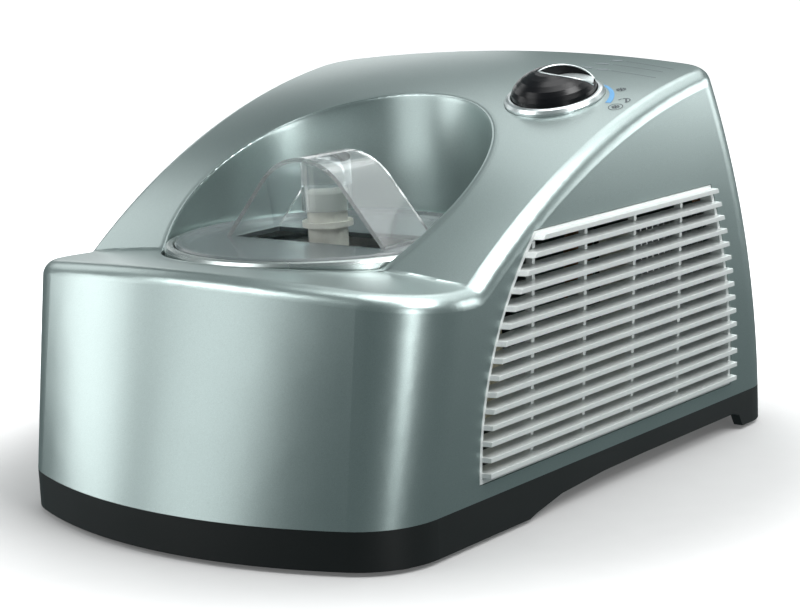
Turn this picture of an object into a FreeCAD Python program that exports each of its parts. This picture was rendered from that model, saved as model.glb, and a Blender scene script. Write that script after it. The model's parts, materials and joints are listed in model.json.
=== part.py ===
import FreeCAD, Part
import math
import os
from types import SimpleNamespace

import Sketcher

Vec = FreeCAD.Vector
doc = FreeCAD.newDocument("ice_cream_maker")

# Driving dimensions in millimetres and degrees
SIZES = {
    "base_half_width": 133.5,
    "front_y": -202.5,
    "rear_y": 202.5,
    "foot_height": 4.0,
    "skirt_bottom": 2.5,
    "base_top": 23.0,
    "tray_floor_z": 13.5,
    "tray_floor": 2.5,
    "tray_wall": 6.0,
    "tray_lip": 3.0,
    "arch_front_y": -62.0,
    "arch_rear_y": 152.0,
    "arch_height": 12.0,
    "housing_mid_z": 125.0,
    "housing_top_z": 236.0,
    "mid_half_width": 139.0,
    "top_half_width": 143.0,
    "mid_front_y": -181.0,
    "top_front_y": -160.0,
    "mid_rear_y": 179.0,
    "top_rear_y": 124.5,
    "base_front_radius": 265.0,
    "top_front_radius": 420.0,
    "front_corner": 43.0,
    "top_corner": 50.0,
    "rear_radius": 900.0,
    "rear_corner": 26.0,
    "wall": 3.2,
    "edge_round": 9.0,
    "crown_radius": 1350.0,
    "deck_z": 140.5,
    "deck_y": -141.0,
    "deck_fall": 2.6,
    "crest_z": 229.0,
    "crest_y": 165.0,
    "hump_radius": 455.0,
    "crease_round": 6.0,
    "bowl_y": -56.0,
    "scoop_radius": 91.5,
    "scoop_floor_z": 126.0,
    "scoop_floor": 3.0,
    "well_radius": 81.0,
    "gap": 0.3,
    "collar_top": 142.5,
    "collar_outer": 89.5,
    "collar_inner": 82.0,
    "bowl_radius": 72.0,
    "bowl_wall": 1.5,
    "bowl_floor_z": 62.0,
    "bowl_flange": 81.2,
    "bowl_tube_top": 112.0,
    "bowl_tube_bore": 7.5,
    "evaporator_gap": 1.0,
    "evaporator_wall": 2.5,
    "evaporator_flange": 82.6,
    "coil_tube": 3.5,
    "coil_turns": 5.0,
    "coil_pitch": 10.0,
    "coil_bottom_z": 66.0,
    "jacket_wall": 8.0,
    "shaft_radius": 6.0,
    "shaft_bottom": 18.0,
    "shaft_top": 128.0,
    "shaft_square": 8.2,
    "running_fit": 0.05,
    "seal_radius": 14.0,
    "seal_flange": 18.0,
    "hub_radius": 11.0,
    "hub_bottom": 64.0,
    "hub_top": 167.5,
    "hub_flange": 14.0,
    "hub_flange_z": 147.5,
    "hub_flange_thick": 3.0,
    "blade_height": 40.0,
    "blade_thick": 4.0,
    "blade_gap": 2.0,
    "blade_slope": 22.0,
    "lid_radius": 84.0,
    "lid_seat_z": 138.0,
    "lid_rim_top": 143.5,
    "lid_rim": 6.0,
    "lid_plate_top": 141.0,
    "lid_plate": 2.5,
    "lid_slot_inset": 5.0,
    "arch_half_span": 57.0,
    "arch_rise": 46.0,
    "arch_crown": 38.0,
    "arch_width": 41.0,
    "arch_thick": 2.5,
    "socket_wall": 2.0,
    "socket_bottom": 156.5,
    "grille_top": 154.0,
    "grille_bottom": 31.0,
    "grille_front_y": -106.0,
    "grille_rear_y": 143.5,
    "grille_front_curve": 163.0,
    "grille_rear_curve": 240.0,
    "slat_count": 15,
    "slat_pitch": 8.2,
    "slat_thick": 2.6,
    "slat_proud": 4.2,
    "slat_run": 10.0,
    "grille_depth": 8.0,
    "grille_rim": 2.5,
    "grille_flange": 4.0,
    "rib_thick": 2.5,
    "rib_first_y": -8.0,
    "rib_step": 48.0,
    "rib_count": 4,
    "knob_x": 84.4,
    "knob_y": 42.8,
    "knob_tilt": 15.5,
    "knob_lean": 3.6,
    "bezel_radius": 28.0,
    "bezel_inner": 24.6,
    "bezel_height": 4.5,
    "bezel_sink": 1.8,
    "knob_radius": 24.0,
    "knob_height": 16.0,
    "knob_base": 2.0,
    "knob_point": 30.0,
    "recess_length": 34.0,
    "recess_width": 19.0,
    "recess_floor": 5.0,
    "spindle_radius": 4.0,
    "spindle_length": 22.0,
    "switch_width": 30.0,
    "switch_height": 22.0,
    "foot_radius": 11.0,
    "foot_stem": 4.0,
    "foot_stem_top": 9.0,
    "foot_pillar": 13.0,
    "foot_front_x": 114.0,
    "foot_rear_x": 92.0,
    "foot_front_y": -150.0,
    "foot_rear_y": 172.0,
    "screw_x": 112.0,
    "screw_front_y": -125.0,
    "screw_rear_y": 164.0,
    "screw_boss": 5.0,
    "boss_top": 60.0,
    "screw_radius": 1.8,
    "screw_head": 3.6,
    "screw_top": 42.0,
    "gearbox_half": 36.0,
    "gearbox_top": 42.0,
    "gearbox_wall": 2.5,
    "wheel_radius": 24.0,
    "wheel_thick": 9.0,
    "worm_radius": 6.5,
    "worm_z": 29.0,
    "tooth_depth": 2.0,
    "tooth_count": 36,
    "motor_radius": 12.5,
    "motor_length": 60.0,
    "motor_shaft": 3.0,
    "compressor_x": -58.0,
    "compressor_y": 112.0,
    "compressor_radius": 46.0,
    "compressor_bottom": 30.0,
    "compressor_top": 142.0,
    "mount_height": 10.0,
    "mount_radius": 8.0,
    "mount_x": 42.0,
    "mount_y": 34.0,
    "relay_z": 118.0,
    "relay_width": 34.0,
    "relay_height": 30.0,
    "relay_depth": 16.0,
    "condenser_x": 98.0,
    "condenser_depth": 20.0,
    "condenser_y": 62.0,
    "condenser_length": 80.0,
    "condenser_top": 134.0,
    "fin_thick": 1.0,
    "fin_count": 14,
    "tube_radius": 3.5,
    "shroud_thick": 3.0,
    "shroud_depth": 12.0,
    "fan_radius": 35.0,
    "fan_gap": 1.5,
    "fan_depth": 9.0,
    "fan_blades": 5,
    "fan_hub": 11.0,
    "fan_motor_radius": 16.0,
    "fan_motor_length": 28.0,
    "fan_post": 12.0,
    "drier_x": 20.0,
    "drier_y": 156.0,
    "drier_radius": 9.0,
    "drier_bottom": 56.0,
    "drier_top": 118.0,
    "pipe_radius": 2.5,
    "pipe_bend": 9.0,
    "pipe_top": 162.0,
    "pipe_y": 56.0,
    "coil_port_x": 20.0,
    "gland_x": -82.0,
    "gland_z": 42.0,
    "gland_radius": 7.0,
    "gland_flange": 10.0,
    "gland_length": 16.0,
    "cord_radius": 3.5,
}

sheet = doc.addObject("Spreadsheet::Sheet", "sizes")
for row, (name, value) in enumerate(SIZES.items(), 1):
    sheet.set(f"A{row}", name)
    sheet.set(f"B{row}", str(value))
    sheet.setAlias(f"B{row}", name)
doc.recompute()


class Dim:
    """A size that carries its number and the formula that binds it to the sheet."""

    def __init__(self, number, text):
        self.number = float(number)
        self.text = text

    def _join(self, other, sign, number, swap=False):
        other_text = other.text if isinstance(other, Dim) else repr(float(other))
        first, second = (other_text, self.text) if swap else (self.text, other_text)
        return Dim(number, f"({first} {sign} {second})")

    def __add__(self, other):
        return self._join(other, "+", self.number + num(other))

    def __radd__(self, other):
        return self._join(other, "+", num(other) + self.number, True)

    def __sub__(self, other):
        return self._join(other, "-", self.number - num(other))

    def __rsub__(self, other):
        return self._join(other, "-", num(other) - self.number, True)

    def __mul__(self, other):
        return self._join(other, "*", self.number * num(other))

    def __rmul__(self, other):
        return self._join(other, "*", num(other) * self.number, True)

    def __truediv__(self, other):
        return self._join(other, "/", self.number / num(other))

    def __neg__(self):
        return Dim(-self.number, f"(0 - {self.text})")


def num(value):
    return value.number if isinstance(value, Dim) else float(value)


def text(value):
    return value.text if isinstance(value, Dim) else repr(float(value))


d = SimpleNamespace(**{name: Dim(getattr(sheet, name), f"sizes.{name}") for name in SIZES})
parts = {}


def bind(obj, **sizes):
    for prop, value in sizes.items():
        obj.setExpression(prop.replace("__", "."), text(value))
    return obj


def place(obj, x=0, y=0, z=0):
    spots = {"Placement__Base__x": x, "Placement__Base__y": y, "Placement__Base__z": z}
    return bind(obj, **{prop: value for prop, value in spots.items() if isinstance(value, Dim) or value})


def keep(name, obj):
    obj.Label = name
    parts[name] = obj
    return obj


def new(kind, name, **sizes):
    return bind(doc.addObject(kind, name), **sizes)


def cylinder(name, radius, height, x=0, y=0, z=0):
    return place(new("Part::Cylinder", name, Radius=radius, Height=height), x, y, z)


def box(name, length, width, height, x=0, y=0, z=0):
    return place(new("Part::Box", name, Length=length, Width=width, Height=height), x, y, z)


def cut(name, base, *tools):
    for index, tool in enumerate(tools):
        result = doc.addObject("Part::Cut", f"{name}_cut{index}")
        result.Base = base
        result.Tool = tool
        base = result
    return base


def fuse(name, *shapes):
    result = doc.addObject("Part::MultiFuse", f"{name}_fuse")
    result.Shapes = list(shapes)
    return result


def common(name, *shapes):
    result = doc.addObject("Part::MultiCommon", f"{name}_common")
    result.Shapes = list(shapes)
    return result


def body(name):
    return doc.addObject("PartDesign::Body", name)


def sketch(owner, name, role, offset=0):
    item = owner.newObject("Sketcher::SketchObject", name)
    plane = [p for p in owner.Origin.OriginFeatures if p.Role == role][0]
    item.AttachmentSupport = [(plane, "")]
    item.MapMode = "FlatFace"
    bind(item, AttachmentOffset__Base__z=offset)
    return item


def pin(item, kind, *args):
    """Add a constraint; the last argument is the size it is bound to."""
    index = item.addConstraint(Sketcher.Constraint(kind, *args[:-1], num(args[-1])))
    bind(item, **{f"Constraints[{index}]": args[-1]})


def pin_point(item, geo, end, x, y):
    pin(item, "DistanceX", -1, 1, geo, end, x)
    pin(item, "DistanceY", -1, 1, geo, end, y)


def polygon(item, points):
    """Closed outline whose corners are bound to the sheet."""
    spots = [Vec(num(x), num(y), 0) for x, y in points]
    count = len(spots)
    first = item.GeometryCount
    for i in range(count):
        item.addGeometry(Part.LineSegment(spots[i], spots[(i + 1) % count]), False)
    for i in range(count):
        item.addConstraint(Sketcher.Constraint("Coincident", first + i, 2, first + (i + 1) % count, 1))
    for i, (x, y) in enumerate(points):
        pin_point(item, first + i, 1, x, y)


def circle(item, x, y, radius):
    centre = Vec(num(x), num(y), 0)
    index = item.addGeometry(Part.Circle(centre, Vec(0, 0, 1), num(radius)), False)
    pin(item, "Radius", index, radius)
    pin_point(item, index, 3, x, y)


def turned(name, points, x=0, y=0, z=0):
    """A piece turned about a vertical axis from its half section."""
    owner = body(name)
    outline = sketch(owner, f"{name}_section", "XZ_Plane")
    polygon(outline, points)
    feature = owner.newObject("PartDesign::Revolution", f"{name}_turn")
    feature.Profile = outline
    feature.ReferenceAxis = (outline, ["V_Axis"])
    feature.Angle = 360
    return place(owner, x, y, z)


def arc(centre, radius, start, end):
    return Part.ArcOfCircle(Part.Circle(centre, Vec(0, 0, 1), radius), start, end)


def plan(item, half, front, rear, front_r, corner, rear_r, rear_corner):
    """Plan outline: bowed front and rear, straight sides and four round corners."""
    hw, yf, yb = num(half), num(front), num(rear)
    rf, rc, rb, rk = num(front_r), num(corner), num(rear_r), num(rear_corner)
    cy = yf + rf - math.sqrt((rf - rc) ** 2 - (hw - rc) ** 2)
    ky = yb - rb + math.sqrt((rb - rk) ** 2 - (hw - rk) ** 2)
    lean = math.asin((hw - rc) / (rf - rc))
    turn = math.asin((hw - rk) / (rb - rk))
    down, up = 1.5 * math.pi, 0.5 * math.pi
    item.addGeometry(arc(Vec(0, yf + rf, 0), rf, down - lean, down + lean), False)
    item.addGeometry(arc(Vec(hw - rc, cy, 0), rc, down + lean, 2 * math.pi), False)
    item.addGeometry(Part.LineSegment(Vec(hw, cy, 0), Vec(hw, ky, 0)), False)
    item.addGeometry(arc(Vec(hw - rk, ky, 0), rk, 0, up - turn), False)
    item.addGeometry(arc(Vec(0, yb - rb, 0), rb, up - turn, up + turn), False)
    item.addGeometry(arc(Vec(rk - hw, ky, 0), rk, up + turn, math.pi), False)
    item.addGeometry(Part.LineSegment(Vec(-hw, ky, 0), Vec(-hw, cy, 0)), False)
    item.addGeometry(arc(Vec(rc - hw, cy, 0), rc, math.pi, down - lean), False)
    for i in range(8):
        item.addConstraint(Sketcher.Constraint("Tangent", i, 2, (i + 1) % 8, 1))
    for index, radius in ((0, front_r), (1, corner), (7, corner), (4, rear_r), (3, rear_corner),
                          (5, rear_corner)):
        pin(item, "Radius", index, radius)
    pin_point(item, 0, 3, 0, front + front_r)
    pin_point(item, 4, 3, 0, rear - rear_r)
    pin(item, "DistanceX", -1, 1, 2, 1, half)
    pin(item, "DistanceX", -1, 1, 6, 1, -half)
    item.addConstraint(Sketcher.Constraint("Vertical", 2))
    item.addConstraint(Sketcher.Constraint("Vertical", 6))


fall = Dim(math.tan(math.radians(num(d.deck_fall))), "tan(sizes.deck_fall * 1 deg)")
fall_cos = Dim(math.cos(math.radians(num(d.deck_fall))), "cos(sizes.deck_fall * 1 deg)")


def top_profile(item, inset):
    """Side view of the space above the deck and hump, set in by the wall."""
    zc = num(d.crest_z - d.hump_radius)
    yc = num(d.crest_y)
    radius = num(d.hump_radius - inset)
    crease = num(d.crease_round + inset)
    slope = math.radians(num(d.deck_fall))
    far, high = num(d.front_y) - 60, num(d.crest_z) + 80
    rise = num(inset) / math.cos(slope)
    level = num(d.deck_z) - rise
    start = level - math.tan(slope) * (far - num(d.deck_y))
    lift = level + crease / math.cos(slope)
    reach = radius + crease
    # Centre of the crease round: above the deck line and outside the hump circle
    a = 1 + math.tan(slope) ** 2
    e = lift + math.tan(slope) * num(d.deck_y) - zc
    b = -2 * yc - 2 * math.tan(slope) * e
    c = yc ** 2 + e ** 2 - reach ** 2
    fy = (-b - math.sqrt(b * b - 4 * a * c)) / (2 * a)
    fz = lift - math.tan(slope) * (fy - num(d.deck_y))
    foot = Vec(fy - crease * math.sin(slope), fz - crease * math.cos(slope), 0)
    to_hump = math.atan2(fz - zc, fy - yc)
    join = Vec(yc + radius * math.cos(to_hump), zc + radius * math.sin(to_hump), 0)
    crest = Vec(yc, zc + radius, 0)
    item.addGeometry(Part.LineSegment(Vec(far, high, 0), Vec(far, start, 0)), False)
    item.addGeometry(Part.LineSegment(Vec(far, start, 0), foot), False)
    item.addGeometry(arc(Vec(fy, fz, 0), crease, 1.5 * math.pi - slope, 2 * math.pi + to_hump - math.pi),
                     False)
    item.addGeometry(arc(Vec(yc, zc, 0), radius, 0.5 * math.pi, to_hump), False)
    item.addGeometry(Part.LineSegment(crest, Vec(-far, crest.y, 0)), False)
    item.addGeometry(Part.LineSegment(Vec(-far, crest.y, 0), Vec(-far, high, 0)), False)
    item.addGeometry(Part.LineSegment(Vec(-far, high, 0), Vec(far, high, 0)), False)
    item.addConstraint(Sketcher.Constraint("Coincident", 0, 2, 1, 1))
    item.addConstraint(Sketcher.Constraint("Tangent", 1, 2, 2, 1))
    item.addConstraint(Sketcher.Constraint("Tangent", 2, 2, 3, 2))
    item.addConstraint(Sketcher.Constraint("Tangent", 3, 1, 4, 1))
    for i in (4, 5, 6):
        item.addConstraint(Sketcher.Constraint("Coincident", i, 2, (i + 1) % 7, 1))
    for i in (0, 5):
        item.addConstraint(Sketcher.Constraint("Vertical", i))
    for i in (4, 6):
        item.addConstraint(Sketcher.Constraint("Horizontal", i))
    pin(item, "Radius", 2, d.crease_round + inset)
    pin(item, "Radius", 3, d.hump_radius - inset)
    pin_point(item, 3, 3, d.crest_y, d.crest_z - d.hump_radius)
    pin(item, "DistanceX", -1, 1, 0, 1, d.front_y - 60)
    pin(item, "DistanceX", -1, 1, 5, 1, 60 - d.front_y)
    pin(item, "DistanceY", -1, 1, 0, 1, d.crest_z + 80)
    pin(item, "DistanceY", -1, 1, 0, 2, d.deck_z - inset / fall_cos - fall * (d.front_y - 60 - d.deck_y))
    tilt = item.addConstraint(Sketcher.Constraint("Angle", 1, -slope))
    item.setExpression(f"Constraints[{tilt}]", "0 deg - sizes.deck_fall * 1 deg")
    low = num(d.crest_z - d.crown_radius)
    axis = item.addGeometry(Part.LineSegment(Vec(far, low, 0), Vec(-far, low, 0)), True)
    pin_point(item, axis, 1, d.front_y - 60, d.crest_z - d.crown_radius)
    pin_point(item, axis, 2, 60 - d.front_y, d.crest_z - d.crown_radius)


def housing_form(name, inset, bottom):
    """The moulded outer form of the housing, set in by a wall where asked."""
    owner = body(name)
    levels = (
        (bottom, d.base_half_width, d.front_y, d.rear_y, d.base_front_radius, d.front_corner),
        (d.housing_mid_z, d.mid_half_width, d.mid_front_y, d.mid_rear_y,
         (d.base_front_radius + d.top_front_radius) / 2, (d.front_corner + d.top_corner) / 2),
        (d.housing_top_z, d.top_half_width, d.top_front_y, d.top_rear_y, d.top_front_radius, d.top_corner),
    )
    outlines = []
    for index, (level, half, front, rear, radius, corner) in enumerate(levels):
        item = sketch(owner, f"{name}_plan{index}", "XY_Plane", level)
        plan(item, half - inset, front + inset, rear - inset, radius - inset, corner - inset,
             d.rear_radius - inset, d.rear_corner - inset)
        outlines.append(item)
    loft = owner.newObject("PartDesign::AdditiveLoft", f"{name}_loft")
    loft.Profile = outlines[0]
    loft.Sections = outlines[1:]
    loft.Ruled = False
    above = sketch(owner, f"{name}_above", "YZ_Plane")
    top_profile(above, inset)
    groove = owner.newObject("PartDesign::Groove", f"{name}_top")
    groove.Profile = above
    groove.ReferenceAxis = (above, ["Axis0"])
    groove.Angle = 20
    groove.Midplane = True
    doc.recompute()
    rim = top_edges(groove.Shape)
    rounding = owner.newObject("PartDesign::Fillet", f"{name}_round")
    rounding.Base = (groove, rim)
    bind(rounding, Radius=d.edge_round - inset * 0.9)
    doc.recompute()
    return owner


def top_edges(shape):
    """Edges where the turned top meets the moulded sides."""
    owners = {}
    for face in shape.Faces:
        side = face.Surface.TypeId == "Part::GeomBSplineSurface" or abs(face.normalAt(0, 0).z) < 0.2
        flat_bottom = face.BoundBox.ZLength < 0.01
        kind = "bottom" if flat_bottom else "side" if side else "top"
        for edge in face.Edges:
            owners.setdefault(edge.hashCode(), set()).add(kind)
    return [f"Edge{i}" for i, edge in enumerate(shape.Edges, 1) if owners[edge.hashCode()] == {"side", "top"}]


def wall_x(z):
    """Half width of the housing at a height, from its three plan outlines."""
    levels = ((d.base_top, d.base_half_width), (d.housing_mid_z, d.mid_half_width),
              (d.housing_top_z, d.top_half_width))
    total = 0
    for i, (zi, xi) in enumerate(levels):
        term = xi
        for j, (zj, _) in enumerate(levels):
            if j != i:
                term = term * (z - zj) / (zi - zj)
        total = term + total
    return total


def window(item, inset):
    """Grille outline in side view: level top and bottom, curved front and rear ends."""
    level = d.grille_bottom + 9
    front_r, rear_r = d.grille_front_curve - inset, d.grille_rear_curve - inset
    front_c, rear_c = d.grille_front_y + d.grille_front_curve, d.grille_rear_y - d.grille_rear_curve
    low, high = d.grille_bottom + inset, d.grille_top - inset

    def ends(z):
        rise = num(z) - num(level)
        return (num(front_c) - math.sqrt(num(front_r) ** 2 - rise ** 2),
                num(rear_c) + math.sqrt(num(rear_r) ** 2 - rise ** 2))

    (y1, y2), (y3, y4) = ends(low), ends(high)
    zl, zh, zc = num(low), num(high), num(level)
    item.addGeometry(Part.LineSegment(Vec(y1, zl, 0), Vec(y2, zl, 0)), False)
    item.addGeometry(arc(Vec(num(rear_c), zc, 0), num(rear_r), math.atan2(zl - zc, y2 - num(rear_c)),
                         math.atan2(zh - zc, y4 - num(rear_c))), False)
    item.addGeometry(Part.LineSegment(Vec(y4, zh, 0), Vec(y3, zh, 0)), False)
    item.addGeometry(arc(Vec(num(front_c), zc, 0), num(front_r), math.atan2(zh - zc, y3 - num(front_c)),
                         2 * math.pi + math.atan2(zl - zc, y1 - num(front_c))), False)
    for i in range(4):
        item.addConstraint(Sketcher.Constraint("Coincident", i, 2, (i + 1) % 4, 1))
    item.addConstraint(Sketcher.Constraint("Horizontal", 0))
    item.addConstraint(Sketcher.Constraint("Horizontal", 2))
    pin(item, "Radius", 1, rear_r)
    pin(item, "Radius", 3, front_r)
    pin_point(item, 1, 3, rear_c, level)
    pin_point(item, 3, 3, front_c, level)
    pin(item, "DistanceY", -1, 1, 0, 1, low)
    pin(item, "DistanceY", -1, 1, 2, 1, high)


def prism(name, role, offset, length, draw):
    """A pad drawn by a function on one of the body's planes."""
    owner = body(name)
    item = sketch(owner, f"{name}_outline", role, offset)
    draw(item)
    pad = owner.newObject("PartDesign::Pad", f"{name}_pad")
    pad.Profile = item
    bind(pad, Length=length)
    return owner


def lay(obj, axis, angle):
    """Turn an object about an axis through its own origin."""
    obj.Placement.Rotation = FreeCAD.Rotation(axis, num(angle))
    if isinstance(angle, Dim):
        obj.setExpression("Placement.Rotation.Angle", f"{angle.text} * 1 deg")
    return obj


X, Y, Z = Vec(1, 0, 0), Vec(0, 1, 0), Vec(0, 0, 1)
none = Dim(0, "0")

# Upper housing: a thin moulded shell with a scooped bowl well
outer = housing_form("housing_outer", none, d.base_top)
core = housing_form("housing_core", d.wall, d.base_top)
scoop = cylinder("scoop", d.scoop_radius, d.crest_z, 0, d.bowl_y, d.scoop_floor_z)
scoop_skin = cylinder("scoop_skin", d.scoop_radius + d.wall, d.crest_z, 0, d.bowl_y,
                      d.scoop_floor_z - d.scoop_floor)
shell = cut("shell", outer, cut("hollow", core, scoop_skin), scoop)
well = cylinder("well", d.well_radius, d.crest_z, 0, d.bowl_y, d.tray_floor_z)
cut_start = d.base_half_width - d.grille_depth * 2
side_cuts = [prism(f"side_cut{i}", "YZ_Plane", offset, d.grille_depth * 4, lambda item: window(item, none))
             for i, offset in enumerate((cut_start, -cut_start - d.grille_depth * 4))]
seat_z = d.crest_z - d.hump_radius


def knob_axis(obj, along):
    """Stand an object on the hump at the control, tipped to the hump's slope."""
    tip = FreeCAD.Rotation(Y, num(d.knob_lean)).multiply(FreeCAD.Rotation(X, num(d.knob_tilt)))
    up = tip.multVec(Z)
    drop = num(d.knob_x) ** 2 / (2 * num(d.crown_radius))
    rise = math.sqrt(num(d.hump_radius) ** 2 - (num(d.knob_y) - num(d.crest_y)) ** 2)
    spot = Vec(num(d.knob_x), num(d.knob_y), num(seat_z) + rise - drop)
    obj.Placement = FreeCAD.Placement(spot + up * num(along), tip)
    return obj


def gland_axis(obj, along):
    """Stand an object on the rear wall at the cord gland, square to the wall."""
    start = Vec(num(d.gland_x), num(d.rear_y) * 2, num(d.gland_z))
    hits = []
    for step in (Vec(), X * 5, Z * 5):
        ray = Part.LineSegment(start + step, start + step - Y * num(d.rear_y) * 2).toShape()
        hits.append(max((v.Point for v in outer.Shape.common(ray).Vertexes), key=lambda point: point.y))
    foot, beside, above = hits
    normal = (above - foot).cross(beside - foot).normalize()
    obj.Placement = FreeCAD.Placement(foot + normal * num(along), FreeCAD.Rotation(Z, normal))
    return obj


seat = knob_axis(new("Part::Cylinder", "seat", Radius=d.bezel_radius + d.gap, Height=d.knob_height),
                 -d.bezel_sink)
spindle_hole = knob_axis(new("Part::Cylinder", "spindle_hole", Radius=d.spindle_radius + d.gap,
                             Height=d.spindle_length * 2), -d.spindle_length)
gland_hole = gland_axis(new("Part::Cylinder", "gland_hole", Radius=d.gland_radius + d.gap,
                            Height=d.gland_length * 2), -d.gland_length)
corners = [(sx, y) for sx in (1, -1) for y in (d.screw_front_y, d.screw_rear_y)]
boss_base = d.tray_floor_z + d.tray_floor
bosses = []
for index, (sx, y) in enumerate(corners):
    bosses.append(cylinder(f"boss{index}", d.screw_boss, d.boss_top - boss_base, d.screw_x * sx, y,
                           boss_base))
    reach = d.base_half_width - d.wall / 2 - d.screw_x
    rib_x = d.screw_x if sx > 0 else -d.screw_x - reach
    bosses.append(box(f"boss_rib{index}", reach, d.wall, d.boss_top - d.base_top - d.tray_lip - 1,
                      rib_x, y - d.wall / 2, d.base_top + d.tray_lip + 1))
bores = [cylinder(f"boss_bore{i}", d.screw_radius + d.gap / 3, d.screw_top - boss_base + d.gap,
                  d.screw_x * sx, y, boss_base)
         for i, (sx, y) in enumerate(corners)]
keep("upper_housing", cut("housing", fuse("housing", shell, *bosses), well, *side_cuts, seat, spindle_hole,
                          gland_hole, *bores))

# Base tray: a black chassis with a skirt, side arches and four foot pillars
def base_plan(inset):
    return lambda item: plan(item, d.base_half_width - inset, d.front_y + inset, d.rear_y - inset,
                             d.base_front_radius - inset, d.front_corner - inset,
                             d.rear_radius - inset, d.rear_corner - inset)


skirt = prism("skirt", "XY_Plane", d.skirt_bottom, d.base_top - d.skirt_bottom, base_plan(none))
lip = prism("lip", "XY_Plane", d.base_top - 1, d.tray_lip + 1, base_plan(d.wall + d.gap * 3))
underside = prism("underside", "XY_Plane", none, d.tray_floor_z, base_plan(d.tray_wall))
upside = prism("upside", "XY_Plane", boss_base, d.base_top, base_plan(d.tray_wall))
arch_points = [
    (d.arch_front_y - 12, -1), (d.arch_front_y + 5, d.arch_height * 0.35),
    (d.arch_front_y + 29, d.arch_height * 0.75),
    (d.arch_front_y + 69, d.arch_height * 0.95), (d.arch_front_y + 110, d.arch_height),
    (d.arch_rear_y - 4, d.arch_height), (d.arch_rear_y + 2, d.arch_height * 0.8), (d.arch_rear_y + 8, -1)]
arches = prism("arches", "YZ_Plane", -d.rear_y, d.rear_y * 2, lambda item: polygon(item, arch_points))
feet_at = [(x * sx, y) for sx in (1, -1)
           for x, y in ((d.foot_front_x, d.foot_front_y), (d.foot_rear_x, d.foot_rear_y))]
pillars = [cylinder(f"pillar{i}", d.foot_pillar, d.tray_floor_z - d.foot_height, x, y, d.foot_height)
           for i, (x, y) in enumerate(feet_at)]
stem_holes = [cylinder(f"stem_hole{i}", d.foot_stem + d.gap / 3, d.foot_stem_top + d.gap - d.foot_height, x,
                       y, d.foot_height)
              for i, (x, y) in enumerate(feet_at)]
screw_holes = [cylinder(f"screw_hole{i}", d.screw_radius + d.gap / 3, d.base_top, d.screw_x * sx, y,
                        d.skirt_bottom)
               for i, (sx, y) in enumerate(corners)]
tray = cut("tray", fuse("tray_rim", skirt, lip), underside, upside, arches)
keep("base_tray", cut("base", fuse("tray_legs", tray, *pillars), *stem_holes, *screw_holes))

# Rubber feet and housing screws
feet = []
for i, (x, y) in enumerate(feet_at):
    feet.append(cylinder(f"foot{i}", d.foot_radius, d.foot_height, x, y, 0))
    feet.append(cylinder(f"foot_stem{i}", d.foot_stem, d.foot_stem_top, x, y, 0))
keep("rubber_feet", fuse("feet", *feet))
screws = []
for i, (sx, y) in enumerate(corners):
    screws.append(cylinder(f"screw{i}", d.screw_radius, d.screw_top - d.tray_floor_z + 1, d.screw_x * sx, y,
                           d.tray_floor_z - 1))
    screws.append(cylinder(f"screw_head{i}", d.screw_head, d.screw_radius, d.screw_x * sx, y,
                           d.tray_floor_z - d.screw_radius))
keep("housing_screws", fuse("screws", *screws))

# Louvred grilles: proud slats with pointed front ends, ribs behind, a flange inside the wall
grille_foot = wall_x(d.grille_bottom)
grille_lean = math.degrees(math.atan2(num(wall_x(d.grille_top)) - num(grille_foot),
                                      num(d.grille_top - d.grille_bottom)))
fit = d.gap
plate = prism("grille_plate", "YZ_Plane", -d.grille_depth, d.grille_depth + d.slat_proud,
              lambda item: window(item, fit))
doc.recompute()
pad = plate.Tip
tip_edges = [f"Edge{i}" for i, edge in enumerate(pad.Shape.Edges, 1)
             if edge.BoundBox.XMin > num(d.slat_proud) - 0.01
             and edge.BoundBox.ZLength > num(d.grille_rim) * 4
             and edge.BoundBox.YMax < num(d.grille_rear_y) / 2]
bevel = plate.newObject("PartDesign::Chamfer", "slat_ends")
bevel.Base = (pad, tip_edges)
bevel.ChamferType = "Two distances"
bevel.FlipDirection = True
bind(bevel, Size=d.slat_proud - d.gap, Size2=d.slat_run)
slat_length = d.grille_rear_y - d.grille_front_y + 20
first_slat = d.grille_bottom + d.grille_rim + 1
slats = [box(f"slat{i}", d.slat_proud + d.grille_depth, slat_length, d.slat_thick,
             -d.grille_depth, d.grille_front_y - 10, first_slat + d.slat_pitch * i)
         for i in range(round(num(d.slat_count)))]
ribs = [box(f"rib{i}", d.grille_depth / 2, d.rib_thick, d.grille_top - d.grille_bottom,
            -d.grille_depth, d.rib_first_y + d.rib_step * i, d.grille_bottom)
        for i in range(-1, round(num(d.rib_count)) - 1)]
frame_out = prism("frame_out", "YZ_Plane", -d.grille_depth, d.grille_depth - d.gap,
                  lambda item: window(item, fit))
frame_in = prism("frame_in", "YZ_Plane", -d.grille_depth * 2, d.grille_depth * 3,
                 lambda item: window(item, fit + d.grille_rim))
flange_out = prism("flange_out", "YZ_Plane", -d.grille_depth, d.grille_depth - d.wall - d.gap * 2,
                   lambda item: window(item, -d.grille_flange))
louvres = common("louvres", plate, fuse("louvres", *slats, *ribs))
relief = box("flange_relief", d.grille_depth * 2, -d.grille_front_y, d.grille_flange * 4, -d.grille_depth * 2,
             d.grille_front_y, d.grille_top - d.grille_flange * 2)
rim = cut("grille_rim", fuse("grille_rim", frame_out, cut("flange", flange_out, relief)), frame_in)
grille = keep("right_grille", fuse("right_grille", louvres, rim))
swing = FreeCAD.Rotation(Y, grille_lean)
pivot = Vec(0, 0, num(d.grille_bottom))
grille.Placement = FreeCAD.Placement(Vec(num(grille_foot), 0, num(d.grille_bottom)) - swing.multVec(pivot),
                                     swing)
mirror = doc.addObject("Part::Mirroring", "left_grille_mirror")
mirror.Source = grille
mirror.Normal = X
keep("left_grille", mirror)

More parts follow.
